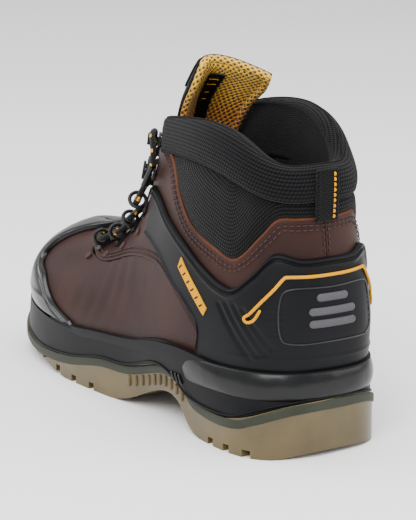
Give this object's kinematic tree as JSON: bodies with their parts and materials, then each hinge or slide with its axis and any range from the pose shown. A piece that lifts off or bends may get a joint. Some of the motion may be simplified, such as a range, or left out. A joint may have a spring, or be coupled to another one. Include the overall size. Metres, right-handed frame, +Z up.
{
  "type": "steel toe work boot",
  "caption": "Mid-height steel toe work boot in brown leather with a padded black collar, lacing hooks, rubber toe bumper and amber outsole.",
  "frame": {"origin": "centre of the footprint of the boot, on the ground", "axes": "+Z up, toe towards -Y, outer (lateral) side of this left boot towards +X"},
  "size_m": [0.1198, 0.3024, 0.2089],
  "materials": {
    "leather": "purplish brown full-grain leather with a soft sheen",
    "moulded_support": "satin charcoal moulded support",
    "toe_rubber": "glossy black rubber",
    "collar_textile": "ribbed black textile",
    "foam": "open foam",
    "mesh_lining": "yellow to orange-brown open mesh",
    "midsole": "satin black foam rubber with a glossy ledge",
    "outsole": "translucent amber khaki rubber",
    "insole": "dark grey textile",
    "steel": "brushed",
    "plate": "satin",
    "polymer": "matte",
    "hardware": "dark moulded nylon",
    "lace": "braided black with yellow flecks",
    "aglet": "glossy black",
    "yellow_trim": "matte yellow",
    "bars": "grey lavender",
    "badge": "satin with a raised outline",
    "webbing": "black webbing",
    "label": "black woven label",
    "patch": "satin black welded patch"
  },
  "bodies": {
    "boot": {"vamp": "leather", "quarter_lateral": "leather", "quarter_medial": "leather", "side_support": "moulded_support", "toe_bumper": "toe_rubber", "ankle_panel_lateral": "collar_textile", "ankle_panel_medial": "collar_textile", "collar_roll": "collar_textile", "collar_padding": "foam", "collar_lining": "mesh_lining", "boot_lining": "mesh_lining", "midsole": "midsole", "outsole": "outsole", "insole_board": "insole", "footbed": "insole", "steel_toe_cap": "steel", "penetration_plate": "plate", "toe_cap_edge_strip": "polymer", "heel_stiffener": "polymer", "lace_loops_lateral": "hardware", "lace_loops_medial": "hardware", "lock_loops": "hardware", "lace_hooks": "hardware", "rivets": "hardware", "lace": "lace", "aglets": "aglet", "heel_trim_line": "yellow_trim", "pull_tab_stitching": "yellow_trim", "reflective_bars": "bars", "side_badges": "badge", "pull_tab": "webbing"},
    "tongue": {"tongue": "collar_textile", "tongue_padding": "foam", "tongue_lining": "mesh_lining", "tongue_label": "label", "tongue_front_patch": "patch"}
  },
  "joints": [
    {"name": "tongue_pivot", "type": "hinge", "parent": "boot", "child": "tongue", "pos_m": [0, -0.067, 0.072], "axis": [-1, 0, 0], "range_deg": [0, 11], "stiffness_Nm_per_rad": 0.5, "springref_deg": -5.73}
  ]
}
